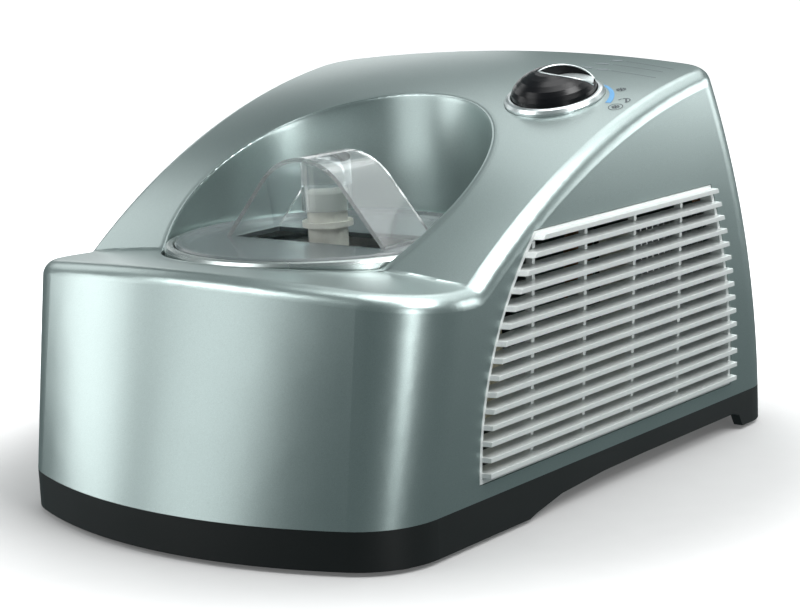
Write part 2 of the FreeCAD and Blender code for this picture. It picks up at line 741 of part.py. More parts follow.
# Bowl collar with a seat for the lid
collar_base = d.scoop_floor_z
collar_foot = d.evaporator_flange + d.gap
keep("bowl_collar", turned("collar", [
    (collar_foot, collar_base), (d.collar_outer, collar_base), (d.collar_outer, d.collar_top - 2.2),
    (d.collar_outer - 0.9, d.collar_top - 0.6), (d.collar_outer - 2.2, d.collar_top),
    (d.lid_radius + 1.2, d.collar_top),
    (d.lid_radius + 0.5, d.collar_top - 0.8), (d.lid_radius + 0.5, d.lid_seat_z),
    (d.collar_inner, d.lid_seat_z),
    (d.collar_inner, collar_base + 5), (collar_foot, collar_base + 4),
], 0, d.bowl_y))

# Evaporator bowl hung from the well by its flange, and its tube wound round it
evap_in = d.bowl_radius + d.bowl_wall + d.evaporator_gap
evap_out = evap_in + d.evaporator_wall
flange_z = d.scoop_floor_z + 2
bowl_under = d.bowl_floor_z - d.bowl_wall
evap_floor = bowl_under - d.evaporator_gap
evap_under = evap_floor - d.evaporator_wall
keep("evaporator_bowl", turned("evaporator", [
    (d.seal_radius + d.gap / 3, evap_under), (evap_out - 4, evap_under), (evap_out, evap_under + 4),
    (evap_out, d.scoop_floor_z), (d.evaporator_flange, d.scoop_floor_z), (d.evaporator_flange, flange_z),
    (evap_in, flange_z), (evap_in, evap_floor + 4), (evap_in - 4, evap_floor),
    (d.seal_radius + d.gap / 3, evap_floor),
], 0, d.bowl_y))
coil_axis = evap_out + d.coil_tube + d.gap
helix = place(new("Part::Helix", "coil_path", Pitch=d.coil_pitch, Height=d.coil_pitch * d.coil_turns,
                  Radius=coil_axis),
              0, 0, 0)
ring = new("Part::RegularPolygon", "coil_ring", Circumradius=d.coil_tube, Placement__Base__x=coil_axis)
ring.Polygon = 8
lay(ring, X, 90)
coil = doc.addObject("Part::Sweep", "coil_sweep")
coil.Sections = [ring]
coil.Spine = (helix, ["Edge1"])
coil.Solid = True
coil.Frenet = True
keep("evaporator_coil", place(coil, 0, d.bowl_y, d.coil_bottom_z))
jacket_in = coil_axis + d.coil_tube + d.gap
jacket_out = jacket_in + d.jacket_wall
jacket_top = d.scoop_floor_z - d.scoop_floor - d.gap
jacket_floor = evap_under - d.gap
jacket_bottom = d.gearbox_top + d.gap / 3
jacket = turned("jacket", [
    (d.seal_flange + d.gap, jacket_bottom), (jacket_out, jacket_bottom), (jacket_out, jacket_top),
    (jacket_in, jacket_top), (jacket_in, jacket_floor), (d.seal_flange + d.gap, jacket_floor),
], 0, d.bowl_y)
port_length = jacket_out * 2
port_turn = math.acos(num(d.coil_port_x / coil_axis)) / (2 * math.pi)
liquid_z = d.coil_bottom_z + d.coil_pitch * (d.coil_turns - 1 + port_turn)
suction_z = d.coil_bottom_z + d.coil_pitch * (1.5 - port_turn)
ports = [lay(cylinder(f"port{i}", d.pipe_radius + d.gap, port_length, x, d.bowl_y, z), X, -90)
         for i, (x, z) in enumerate(((d.coil_port_x, liquid_z), (-d.coil_port_x, suction_z)))]
keep("insulation_jacket", cut("jacket", jacket, *ports))
keep("shaft_seal", turned("seal", [
    (d.shaft_radius + d.running_fit, d.gearbox_top), (d.seal_flange, d.gearbox_top),
    (d.seal_flange, evap_under - d.gap / 3), (d.seal_radius, evap_under - d.gap / 3),
    (d.seal_radius, evap_floor - d.gap),
    (d.shaft_radius + d.running_fit, evap_floor - d.gap)], 0, d.bowl_y))

# Removable bowl with a centre tube
tube_out = d.bowl_tube_bore + d.bowl_wall
bowl_out = d.bowl_radius + d.bowl_wall
bowl_rim = flange_z + d.bowl_wall
keep("removable_bowl", turned("bowl", [
    (d.bowl_tube_bore, bowl_under), (bowl_out - 4, bowl_under), (bowl_out, bowl_under + 4),
    (bowl_out, flange_z),
    (d.bowl_flange, flange_z), (d.bowl_flange, bowl_rim), (d.bowl_radius, bowl_rim),
    (d.bowl_radius, d.bowl_floor_z + 4),
    (d.bowl_radius - 4, d.bowl_floor_z), (tube_out, d.bowl_floor_z), (tube_out, d.bowl_tube_top),
    (d.bowl_tube_bore, d.bowl_tube_top)], 0, d.bowl_y))

# Drive shaft with a square top
square_z = d.bowl_tube_top + 1
shaft_round = cylinder("shaft_round", d.shaft_radius, square_z - d.shaft_bottom, 0, d.bowl_y, d.shaft_bottom)
shaft_key = box("shaft_key", d.shaft_square, d.shaft_square, d.shaft_top - d.shaft_bottom,
                -d.shaft_square / 2, d.bowl_y - d.shaft_square / 2, d.shaft_bottom)
keep("drive_shaft", fuse("drive_shaft", shaft_round, shaft_key))

# Mixing paddle: a hub over the tube and two sloping blades
hub_bore = tube_out + 0.6
socket = d.shaft_square + d.gap * 2
hub = turned("hub", [
    (0, d.hub_bottom), (d.hub_radius + 2, d.hub_bottom), (d.hub_radius + 2, d.bowl_tube_top + 4),
    (d.hub_radius, d.bowl_tube_top + 8),
    (d.hub_radius, d.hub_flange_z), (d.hub_flange, d.hub_flange_z),
    (d.hub_flange, d.hub_flange_z + d.hub_flange_thick),
    (d.hub_radius, d.hub_flange_z + d.hub_flange_thick), (d.hub_radius, d.hub_top - 1.5),
    (d.hub_radius - 1.5, d.hub_top),
    (0, d.hub_top)], 0, d.bowl_y)
hub_hole = cylinder("hub_hole", hub_bore, d.bowl_tube_top + 1 - d.hub_bottom, 0, d.bowl_y, d.hub_bottom)
key_hole = box("key_hole", socket, socket, d.shaft_top + 1 - d.hub_bottom, -socket / 2,
               d.bowl_y - socket / 2, d.hub_bottom)
blade_reach = d.bowl_radius - d.blade_gap - d.hub_radius
blades = []
for sx in (1, -1):
    blade = box(f"blade{sx + 1}", blade_reach, d.blade_thick, d.blade_height)
    blade.Placement = FreeCAD.Placement(Vec(0, 0, 0), FreeCAD.Rotation(X, num(d.blade_slope)))
    turn = FreeCAD.Placement(Vec(0, num(d.bowl_y), num(d.hub_bottom) + 2),
                             FreeCAD.Rotation(Z, 0 if sx > 0 else 180))
    shift = FreeCAD.Placement(Vec(num(d.hub_radius) - 0.5, 0, 0), FreeCAD.Rotation())
    blade.Placement = turn.multiply(shift).multiply(blade.Placement)
    blades.append(blade)
keep("mixing_paddle", cut("paddle", fuse("paddle", hub, *blades), hub_hole, key_hole))

# Lid: a stepped smoky disc with a pouring slot under a clear arch
lid_in = d.lid_radius - d.lid_rim
disc = turned("lid", [
    (0, d.lid_plate_top - d.lid_plate), (lid_in - 1, d.lid_plate_top - d.lid_plate), (lid_in, d.lid_seat_z),
    (d.lid_radius - 0.4, d.lid_seat_z), (d.lid_radius, d.lid_seat_z + 0.6), (d.lid_radius, d.lid_rim_top - 1),
    (d.lid_radius - 1, d.lid_rim_top), (d.lid_radius - 3, d.lid_rim_top), (lid_in, d.lid_plate_top + 1),
    (lid_in - 3, d.lid_plate_top), (0, d.lid_plate_top)], 0, d.bowl_y)
slot_half = d.arch_half_span - d.lid_slot_inset
slot_width = d.arch_width - d.arch_thick * 2
slot = box("lid_slot", slot_half * 2, slot_width, d.lid_plate * 4, -slot_half, d.bowl_y - slot_width / 2,
           d.lid_seat_z - d.lid_plate)
keep("lid_disc", cut("lid", disc, slot))


def arch_side(item, radius, inset):
    """Right-hand foot, rounded crown and left-hand foot of the arch; returns the two leg indices."""
    half, base = num(d.arch_half_span), num(arch_base)
    crown = num(d.arch_rise - d.arch_crown)
    lean = math.atan2(crown, half) + math.asin(num(d.arch_crown) / math.hypot(half, crown))
    foot = half - num(inset) / math.sin(lean)
    tip_x, tip_z = num(radius) * math.sin(lean), base + crown + num(radius) * math.cos(lean)
    right = item.addGeometry(Part.LineSegment(Vec(foot, base, 0), Vec(tip_x, tip_z, 0)), False)
    top = item.addGeometry(arc(Vec(0, base + crown, 0), num(radius), math.pi / 2 - lean,
                               math.pi / 2 + lean), False)
    left = item.addGeometry(Part.LineSegment(Vec(-tip_x, tip_z, 0), Vec(-foot, base, 0)), False)
    item.addConstraint(Sketcher.Constraint("Tangent", right, 2, top, 1))
    item.addConstraint(Sketcher.Constraint("Tangent", top, 2, left, 1))
    pin(item, "Radius", top, radius)
    pin_point(item, top, 3, 0, arch_base + d.arch_rise - d.arch_crown)
    pin(item, "DistanceY", -1, 1, right, 1, arch_base)
    pin(item, "DistanceY", -1, 1, left, 2, arch_base)
    return right, left


def join(item, first, first_end, second, second_end):
    """Close an outline with a straight edge between two ends."""
    ends = [item.getPoint(first, first_end), item.getPoint(second, second_end)]
    edge = item.addGeometry(Part.LineSegment(*ends), False)
    item.addConstraint(Sketcher.Constraint("Coincident", first, first_end, edge, 1))
    item.addConstraint(Sketcher.Constraint("Coincident", edge, 2, second, second_end))


def arch_outline(item, hollow):
    """The arch in front view: a thin band, or the whole space that it covers."""
    right, left = arch_side(item, d.arch_crown, none)
    pin(item, "DistanceX", -1, 1, right, 1, d.arch_half_span)
    pin(item, "DistanceX", -1, 1, left, 2, -d.arch_half_span)
    if not hollow:
        return join(item, left, 2, right, 1)
    inner_right, inner_left = arch_side(item, d.arch_crown - d.arch_thick, d.arch_thick)
    item.addConstraint(Sketcher.Constraint("Parallel", right, inner_right))
    item.addConstraint(Sketcher.Constraint("Parallel", left, inner_left))
    join(item, left, 2, inner_left, 2)
    join(item, inner_right, 1, right, 1)


arch_base = d.lid_plate_top + d.gap / 3
arch_start = -(d.bowl_y + d.arch_width / 2)
band = prism("arch_band", "XZ_Plane", arch_start, d.arch_width, lambda item: arch_outline(item, True))
arch_space = prism("arch_space", "XZ_Plane", arch_start, d.arch_width, lambda item: arch_outline(item, False))
socket_r = d.hub_radius + 0.6
tube = common("socket_tube", arch_space,
              cylinder("socket_out", socket_r + d.socket_wall, d.crest_z, 0, d.bowl_y,
                                                  d.socket_bottom))
socket_bore = cylinder("socket_bore", socket_r, d.hub_top + 2 - d.socket_bottom, 0, d.bowl_y, d.socket_bottom)
keep("lid_arch", cut("lid_arch", fuse("lid_arch", band, tube), socket_bore))

# Control: bezel ring, domed knob with a leaf-shaped finger recess, switch below
bezel = turned("bezel", [
    (d.bezel_inner, 0), (d.bezel_radius, 0), (d.bezel_radius, d.bezel_height - 2.2),
    (d.bezel_radius - 1.2, d.bezel_height - 0.6),
    (d.bezel_radius - 2.4, d.bezel_height), (d.bezel_inner, d.bezel_height)])
keep("knob_bezel", knob_axis(bezel, d.gap / 3 - d.bezel_sink))
dome = body("dome")
half_section = sketch(dome, "dome_section", "XZ_Plane")
steps = 8
dome_points = [(none, none), (d.knob_radius, none), (d.knob_radius, d.knob_base)]
for i in range(1, steps):
    angle = math.pi / 2 * i / steps
    dome_points.append((d.knob_radius * math.cos(angle),
                        d.knob_base + (d.knob_height - d.knob_base) * math.sin(angle)))
polygon(half_section, dome_points + [(none, d.knob_height)])
dome_turn = dome.newObject("PartDesign::Revolution", "dome_turn")
dome_turn.Profile = half_section
dome_turn.ReferenceAxis = (half_section, ["V_Axis"])
dome_turn.Angle = 360
leaf_r = (d.recess_length * d.recess_length / 4 + d.recess_width * d.recess_width / 4) / d.recess_width
leaf_x = d.knob_radius + 3 - d.recess_length / 2
leaf = common("leaf",
              *[cylinder(f"leaf{i}", leaf_r, d.knob_height * 2, leaf_x,
                         (leaf_r - d.recess_width / 2) * side, d.recess_floor)
                        for i, side in enumerate((1, -1))])
stem = cylinder("stem", d.spindle_radius, d.spindle_length + 1, 0, 0, -d.spindle_length)
knob = fuse("knob_stem", cut("dome", dome, leaf), stem)
keep("control_knob", knob)
knob_axis(knob, d.gap)
knob.Placement = knob.Placement.multiply(FreeCAD.Placement(Vec(0, 0, 0),
                                                           FreeCAD.Rotation(Z, num(d.knob_point))))
switch_box = box("switch_box", d.switch_width, d.switch_width, d.switch_height, -d.switch_width / 2,
                 -d.switch_width / 2, 0)
switch_bore = cylinder("switch_bore", d.spindle_radius + d.running_fit, d.switch_height * 2, 0, 0, -d.gap)
switch = keep("selector_switch", cut("switch", switch_box, switch_bore))
switch_drop = d.wall + d.gap + d.switch_width * d.switch_width / (d.hump_radius * 4)
knob_axis(switch, -switch_drop - d.switch_height)

# Worm drive under the bowl
wheel_z = d.worm_z - d.wheel_thick / 2
wheel_bore = cylinder("wheel_bore", d.shaft_radius + d.gap / 3, d.wheel_thick * 2, 0, d.bowl_y, wheel_z - 1)
wheel_disc = cylinder("wheel_disc", d.wheel_radius, d.wheel_thick, 0, d.bowl_y, wheel_z)
gap_count = round(num(d.tooth_count))
notches = []
for i in range(gap_count):
    angle = 360 / gap_count * i
    notch = box(f"notch{i}", d.tooth_depth * 2, d.tooth_depth * 0.9, d.wheel_thick * 2)
    turn = FreeCAD.Rotation(Z, angle)
    corner = Vec(num(d.wheel_radius - d.tooth_depth), -num(d.tooth_depth) * 0.45, 0)
    notch.Placement = FreeCAD.Placement(Vec(0, num(d.bowl_y), num(wheel_z) - 1) + turn.multVec(corner), turn)
    notches.append(notch)
keep("worm_wheel", cut("wheel", wheel_disc, wheel_bore, fuse("notches", *notches)))
worm_x = d.wheel_radius + d.worm_radius + d.gap
worm_y = d.bowl_y - d.gearbox_half + d.gearbox_wall + d.gap * 2
motor_y = d.bowl_y + d.gearbox_half
worm_thread = body("worm")
thread_section = sketch(worm_thread, "worm_section", "XZ_Plane")
lead = d.tooth_depth * 2.2
thread_turns = 9
thread_start = d.gearbox_half - d.gearbox_wall - d.gap * 2 - lead * thread_turns / 2
thread_points = [(none, none), (d.motor_shaft, none), (d.motor_shaft, thread_start)]
for i in range(thread_turns):
    at = thread_start + lead * i
    thread_points += [(d.worm_radius - d.tooth_depth, at + lead * 0.1), (d.worm_radius, at + lead * 0.35),
                      (d.worm_radius, at + lead * 0.65), (d.worm_radius - d.tooth_depth, at + lead * 0.9)]
worm_end = d.gearbox_half * 2 + d.motor_length / 2
thread_points += [(d.motor_shaft, thread_start + lead * thread_turns), (d.motor_shaft, worm_end),
                  (none, worm_end)]
polygon(thread_section, thread_points)
worm_turn = worm_thread.newObject("PartDesign::Revolution", "worm_turn")
worm_turn.Profile = thread_section
worm_turn.ReferenceAxis = (thread_section, ["V_Axis"])
worm_turn.Angle = 360
keep("motor_worm", lay(place(worm_thread, worm_x, worm_y, d.worm_z), X, -90))
case_x = -d.gearbox_half
case_length = d.gearbox_half + worm_x + d.worm_radius + d.gearbox_wall * 2
case_out = box("case_out", case_length, d.gearbox_half * 2, d.gearbox_top - boss_base, case_x,
               d.bowl_y - d.gearbox_half, boss_base)
case_in = box("case_in", case_length - d.gearbox_wall * 2, d.gearbox_half * 2 - d.gearbox_wall * 2,
              d.gearbox_top - boss_base - d.gearbox_wall, case_x + d.gearbox_wall,
              d.bowl_y - d.gearbox_half + d.gearbox_wall, boss_base - d.gap)
case_bore = cylinder("case_bore", d.shaft_radius + d.running_fit, d.gearbox_top * 2, 0, d.bowl_y, boss_base)
worm_bore = lay(cylinder("worm_bore", d.motor_shaft + d.running_fit, d.gearbox_half * 2, worm_x, d.bowl_y,
                         d.worm_z), X, -90)
keep("gearbox_case", cut("gearbox", case_out, case_in, case_bore, worm_bore))
motor_can = lay(cylinder("motor_can", d.motor_radius, d.motor_length, worm_x, motor_y, d.worm_z), X, -90)
motor_bore = lay(cylinder("motor_bore", d.motor_shaft + d.running_fit,
                          d.motor_length / 2 + d.gearbox_wall + d.gap * 4, worm_x, motor_y, d.worm_z), X, -90)
motor_foot = box("motor_foot", d.motor_radius, d.motor_length / 2, d.worm_z - boss_base,
                 worm_x - d.motor_radius / 2,
                 motor_y + d.motor_length / 4, boss_base)
keep("drive_motor", cut("motor", fuse("motor", motor_can, motor_foot), motor_bore))

# Compressor on rubber mounts
cradle_z = boss_base + d.mount_height
can = turned("can", [
    (0, d.compressor_bottom), (d.compressor_radius * 0.7, d.compressor_bottom),
    (d.compressor_radius * 0.92, d.compressor_bottom + 6),
    (d.compressor_radius, d.compressor_bottom + 18), (d.compressor_radius, d.compressor_top - 30),
    (d.compressor_radius * 0.93, d.compressor_top - 15), (d.compressor_radius * 0.7, d.compressor_top - 4),
    (d.compressor_radius * 0.4, d.compressor_top), (0, d.compressor_top)], d.compressor_x, d.compressor_y)
cradle = box("cradle", (d.mount_x + d.mount_radius) * 2, (d.mount_y + d.mount_radius) * 2,
             d.compressor_bottom - cradle_z + 1,
             d.compressor_x - d.mount_x - d.mount_radius, d.compressor_y - d.mount_y - d.mount_radius,
             cradle_z)
keep("compressor", fuse("compressor", can, cradle))
mounts = [cylinder(f"mount{i}", d.mount_radius, d.mount_height, d.compressor_x + d.mount_x * sx,
                   d.compressor_y + d.mount_y * sy, boss_base)
          for i, (sx, sy) in enumerate(((1, 1), (1, -1), (-1, 1), (-1, -1)))]
keep("compressor_mounts", fuse("mounts", *mounts))
relay = box("relay_box", d.relay_width, d.relay_depth, d.relay_height, d.compressor_x - d.relay_width / 2,
            d.compressor_y - d.compressor_radius - d.relay_depth / 2, d.relay_z - d.relay_height)
relay_cut = cylinder("relay_cut", d.compressor_radius + d.gap / 3, d.compressor_top, d.compressor_x,
                     d.compressor_y, 0)
keep("relay_cover", cut("relay", relay, relay_cut))

# Condenser, fan and shroud behind the right grille
fin_base = boss_base
fin_height = d.condenser_top - fin_base
fin_step = (d.condenser_length - d.fin_thick) / (d.fin_count - 1)
fins = [box(f"fin{i}", d.condenser_depth, d.fin_thick, fin_height, d.condenser_x,
            d.condenser_y + fin_step * i, fin_base)
        for i in range(round(num(d.fin_count)))]
rows = 5
row_step = fin_height / rows
tubes = [lay(cylinder(f"tube{i}", d.tube_radius, d.condenser_length, d.condenser_x + d.condenser_depth / 2,
                      d.condenser_y,
                      fin_base + row_step * (i + 0.5)), X, -90) for i in range(rows)]
keep("condenser", fuse("condenser", *fins, *tubes))
fan_y = d.condenser_y + d.condenser_length / 2
fan_z = fin_base + fin_height / 2
shroud_x = d.condenser_x - d.gap / 3 - d.shroud_depth
shroud_plate = box("shroud_plate", d.shroud_thick, d.condenser_length, fin_height,
                   shroud_x + d.shroud_depth - d.shroud_thick, d.condenser_y, fin_base)
shroud_ring = lay(cylinder("shroud_ring", d.fan_radius + d.fan_gap + d.shroud_thick, d.shroud_depth,
                           shroud_x, fan_y, fan_z), Y, 90)
shroud_hole = lay(cylinder("shroud_hole", d.fan_radius + d.fan_gap, d.shroud_depth * 3,
                           shroud_x - d.shroud_depth, fan_y, fan_z), Y, 90)
keep("fan_shroud", cut("shroud", fuse("shroud", shroud_plate, shroud_ring), shroud_hole))
hub_x = shroud_x + (d.shroud_depth - d.shroud_thick - d.fan_depth) / 2
fan_hub = lay(cylinder("fan_hub", d.fan_hub, d.fan_depth, hub_x, fan_y, fan_z), Y, 90)
vanes = []
vane_count = round(num(d.fan_blades))
for i in range(vane_count):
    vane = box(f"vane{i}", d.shroud_thick / 2, d.fan_hub * 1.6, d.fan_radius - d.fan_hub)
    pitch = FreeCAD.Placement(Vec(num(d.fan_depth) / 2, -num(d.fan_hub) * 0.5, num(d.fan_hub) * 0.8),
                              FreeCAD.Rotation(Z, 28))
    spin = FreeCAD.Placement(Vec(num(hub_x), num(fan_y), num(fan_z)),
                             FreeCAD.Rotation(X, 360 / vane_count * i))
    vane.Placement = spin.multiply(pitch)
    vanes.append(vane)
tip_trim = lay(cylinder("tip_trim", d.fan_radius, d.fan_depth, hub_x, fan_y, fan_z), Y, 90)
axle_bore = lay(cylinder("axle_bore", d.motor_shaft + d.running_fit, d.fan_depth * 0.7, hub_x - d.gap,
                         fan_y, fan_z), Y, 90)
keep("fan_rotor", cut("fan", common("fan", fuse("fan", fan_hub, *vanes), tip_trim), axle_bore))
fan_motor_x = hub_x - d.fan_gap - d.fan_motor_length
fan_can = lay(cylinder("fan_can", d.fan_motor_radius, d.fan_motor_length, fan_motor_x, fan_y, fan_z), Y, 90)
fan_axle = lay(cylinder("fan_axle", d.motor_shaft, d.fan_motor_length + d.fan_gap + d.fan_depth * 0.6,
                        fan_motor_x, fan_y, fan_z), Y, 90)
keep("fan_motor", fuse("fan_motor", fan_can, fan_axle))
post = box("post", d.fan_motor_length * 0.6, d.fan_post, fan_z - boss_base,
           fan_motor_x + d.fan_motor_length * 0.2, fan_y - d.fan_post / 2, boss_base)
post_foot = box("post_foot", d.fan_motor_length * 0.6, d.fan_post * 3, d.shroud_thick,
                fan_motor_x + d.fan_motor_length * 0.2,
                fan_y - d.fan_post * 1.5, boss_base)
post_seat = lay(cylinder("post_seat", d.fan_motor_radius + d.gap / 3, d.fan_motor_length * 2,
                         fan_motor_x - d.fan_motor_length / 2, fan_y, fan_z), Y, 90)
keep("fan_bracket", cut("fan_bracket", fuse("fan_bracket", post, post_foot), post_seat))

# Refrigerant line: drier and bent tubes
drier = turned("drier", [
    (0, d.drier_bottom), (d.pipe_radius + 1, d.drier_bottom), (d.drier_radius, d.drier_bottom + 10),
    (d.drier_radius, d.drier_top - 10), (d.pipe_radius + 1, d.drier_top), (0, d.drier_top)], d.drier_x,
    d.drier_y)
keep("filter_drier", drier)


def bent_tube(name, stops):
    """Round tube along straight runs joined by equal bends."""
    spots = [Vec(*[num(value) for value in stop]) for stop in stops]
    bend = num(d.pipe_bend)
    edges, start = [], spots[0]
    for before, corner, after in zip(spots, spots[1:], spots[2:]):
        into = (corner - before).normalize()
        out = (after - corner).normalize()
        first, last = corner - into * bend, corner + out * bend
        middle = corner + (out - into) * bend * (1 - math.sqrt(0.5))
        edges += [Part.LineSegment(start, first).toShape(), Part.Arc(first, middle, last).toShape()]
        start = last
    edges.append(Part.LineSegment(start, spots[-1]).toShape())
    round_section = Part.Wire(Part.makeCircle(num(d.pipe_radius), spots[0], spots[1] - spots[0]))
    tube = doc.addObject("Part::Feature", name)
    tube.Shape = Part.Wire(edges).makePipeShell([round_section], True, False)
    tube.Placement = FreeCAD.Placement()
    return keep(name, tube)


coil_side = d.bowl_y + math.sqrt(num(coil_axis + d.coil_tube) ** 2
                                 - num(d.coil_port_x - d.pipe_radius) ** 2) + d.gap
tube_x = d.condenser_x + d.condenser_depth / 2
top_row = fin_base + row_step * (rows - 0.5)
low_row = fin_base + row_step * 0.5
condenser_end = d.condenser_y + d.condenser_length
stub_y = d.compressor_y + d.compressor_radius * 0.3
bend_y = condenser_end + d.pipe_bend + 1
bent_tube("discharge_pipe", [
    (d.compressor_x, stub_y, d.compressor_top), (d.compressor_x, stub_y, d.pipe_top),
    (tube_x, stub_y, d.pipe_top),
    (tube_x, bend_y, d.pipe_top), (tube_x, bend_y, top_row), (tube_x, condenser_end, top_row)])
bent_tube("liquid_pipe", [
    (tube_x, condenser_end, low_row), (tube_x, d.drier_y, low_row), (d.drier_x, d.drier_y, low_row),
    (d.drier_x, d.drier_y, d.drier_bottom)])
capillary_top = d.pipe_top - d.pipe_radius * 4
bent_tube("capillary_pipe", [
    (d.drier_x, d.drier_y, d.drier_top), (d.drier_x, d.drier_y, capillary_top),
    (d.coil_port_x, d.pipe_y, capillary_top),
    (d.coil_port_x, d.pipe_y, liquid_z), (d.coil_port_x, coil_side, liquid_z)])
bent_tube("suction_pipe", [
    (-d.coil_port_x, coil_side, suction_z), (-d.coil_port_x, d.pipe_y - 4, suction_z),
    (d.compressor_x, d.pipe_y - 4, suction_z),
    (d.compressor_x, d.compressor_y - d.compressor_radius, suction_z)])

# Gland where the mains cord leaves the rear wall
gland_body = turned("gland", [
    (d.cord_radius, -d.gland_length), (d.gland_radius, -d.gland_length), (d.gland_radius, d.gap),
    (d.gland_flange, d.gap), (d.gland_flange, d.gap + 2), (d.gland_radius, d.gap + 3.2),
    (d.cord_radius, d.gap + 3.2)])
keep("cord_gland", gland_axis(gland_body, none))

# Check every object, then write each piece
doc.recompute()
for obj in doc.Objects:
    if "Invalid" in obj.State or "Error" in obj.State:
        raise RuntimeError(f"{obj.Name} failed: {obj.State}")
os.makedirs("parts", exist_ok=True)
for name, obj in parts.items():
    if obj.Shape.isNull() or not obj.Shape.isValid():
        raise RuntimeError(f"{name} has no valid shape")
    obj.Shape.exportStep(f"parts/{name}.step")
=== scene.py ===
import json
import math

import bpy
from mathutils import Matrix, Vector


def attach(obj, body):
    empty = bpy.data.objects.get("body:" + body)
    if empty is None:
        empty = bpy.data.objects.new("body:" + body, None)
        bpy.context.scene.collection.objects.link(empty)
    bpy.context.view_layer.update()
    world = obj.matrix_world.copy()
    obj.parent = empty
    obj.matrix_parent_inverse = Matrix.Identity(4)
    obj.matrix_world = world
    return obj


MM = 0.001
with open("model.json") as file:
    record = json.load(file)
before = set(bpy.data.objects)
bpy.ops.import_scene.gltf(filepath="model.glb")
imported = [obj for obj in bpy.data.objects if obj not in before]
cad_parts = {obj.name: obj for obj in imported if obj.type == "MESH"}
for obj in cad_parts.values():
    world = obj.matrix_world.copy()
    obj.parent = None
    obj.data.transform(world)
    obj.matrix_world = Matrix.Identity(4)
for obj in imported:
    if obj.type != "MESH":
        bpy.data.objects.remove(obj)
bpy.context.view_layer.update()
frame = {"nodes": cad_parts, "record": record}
scene = bpy.context.scene
nodes = frame["nodes"]
joints = {joint["name"]: joint for joint in frame["record"]["behaviour"]["joints"]}

# Noise shared by all finishes: fine grain for colour and relief, broad mottling for gloss
GRAIN_DETAIL = 3
MOTTLE_SCALE = 14
MOTTLE_DETAIL = 4
NOISE_SPAN = (0.1, 0.9)
TINT_SPAN = (0.3, 0.7)
RELIEF_DEPTH = 0.4 * MM
LEAST_ROUGHNESS = 0.02


def noise_texture(tree, place, scale, detail):
    """Noise that stays with the piece it covers."""
    noise = tree.nodes.new("ShaderNodeTexNoise")
    noise.inputs["Scale"].default_value = scale
    noise.inputs["Detail"].default_value = detail
    tree.links.new(place.outputs["Object"], noise.inputs["Vector"])
    return noise


def map_range(tree, value, source, target):
    """Node that maps a value from one span to another."""
    node = tree.nodes.new("ShaderNodeMapRange")
    for socket, number in zip(("From Min", "From Max", "To Min", "To Max"), source + target):
        node.inputs[socket].default_value = number
    tree.links.new(value, node.inputs["Value"])
    return node


def material(name, color, roughness, metallic=0.0, grain=900.0, tint=0.06, spread=0.06, bump=0.02, **sockets):
    """A moulded or metal surface with fine mottling, uneven gloss and a slight bump."""
    mat = bpy.data.materials.new(name)
    mat.use_nodes = True
    tree = mat.node_tree
    shader = tree.nodes["Principled BSDF"]
    shader.inputs["Metallic"].default_value = metallic
    for socket, value in sockets.items():
        shader.inputs[socket.replace("_", " ")].default_value = value
    place = tree.nodes.new("ShaderNodeTexCoord")
    fine = noise_texture(tree, place, grain, GRAIN_DETAIL)
    broad = noise_texture(tree, place, MOTTLE_SCALE, MOTTLE_DETAIL)
    ramp = tree.nodes.new("ShaderNodeValToRGB")
    low, high = ramp.color_ramp.elements
    low.position, high.position = TINT_SPAN
    low.color = [c * (1 - tint) for c in color] + [1]
    high.color = [min(1, c * (1 + tint)) for c in color] + [1]
    tree.links.new(fine.outputs["Fac"], ramp.inputs["Fac"])
    tree.links.new(ramp.outputs["Color"], shader.inputs["Base Color"])
    gloss_span = (max(LEAST_ROUGHNESS, roughness - spread), roughness + spread)
    gloss = map_range(tree, broad.outputs["Fac"], NOISE_SPAN, gloss_span)
    tree.links.new(gloss.outputs["Result"], shader.inputs["Roughness"])
    relief = tree.nodes.new("ShaderNodeBump")
    relief.inputs["Strength"].default_value = bump
    relief.inputs["Distance"].default_value = RELIEF_DEPTH
    tree.links.new(fine.outputs["Fac"], relief.inputs["Height"])
    tree.links.new(relief.outputs["Normal"], shader.inputs["Normal"])
    return mat


# Painted and moulded outside
silver = material("silver_paint", (0.41, 0.49, 0.48), 0.32, 0.92, grain=2600, tint=0.10, spread=0.03,
                  Coat_Weight=0.25, Coat_Roughness=0.25)
grille_silver = material("grille_paint", (0.67, 0.70, 0.69), 0.36, 0.30, grain=2600, tint=0.05, bump=0.03)
collar_silver = material("collar_paint", (0.48, 0.53, 0.52), 0.28, 0.92, grain=2600, tint=0.08)
black = material("black_moulding", (0.006, 0.007, 0.007), 0.40, grain=1800, tint=0.2, bump=0.08)
rubber = material("dark_rubber", (0.015, 0.015, 0.015), 0.75, grain=1500, tint=0.2, bump=0.15)
knob_black = material("knob_gloss", (0.004, 0.004, 0.005), 0.26, grain=700, tint=0.2, spread=0.03, bump=0.004,
                      Specular_IOR_Level=0.3)
bezel = material("satin_ring", (0.66, 0.71, 0.71), 0.30, 0.9, grain=1600, spread=0.04)
spoon = material("spoon_satin", (0.50, 0.54, 0.54), 0.40, 0.7, grain=1600, tint=0.08, spread=0.04)
smoky = material("smoky_lid", (0.20, 0.235, 0.24), 0.20, grain=500, tint=0.04, spread=0.05, bump=0.006,
                 Transmission_Weight=0.5, IOR=1.45)
clear = material("clear_arch", (0.86, 0.90, 0.90), 0.07, grain=400, tint=0.02, spread=0.02, bump=0.003,
                 Transmission_Weight=0.9, IOR=1.40)
cream = material("cream_paddle", (0.54, 0.55, 0.50), 0.38, grain=700, tint=0.03, bump=0.01)

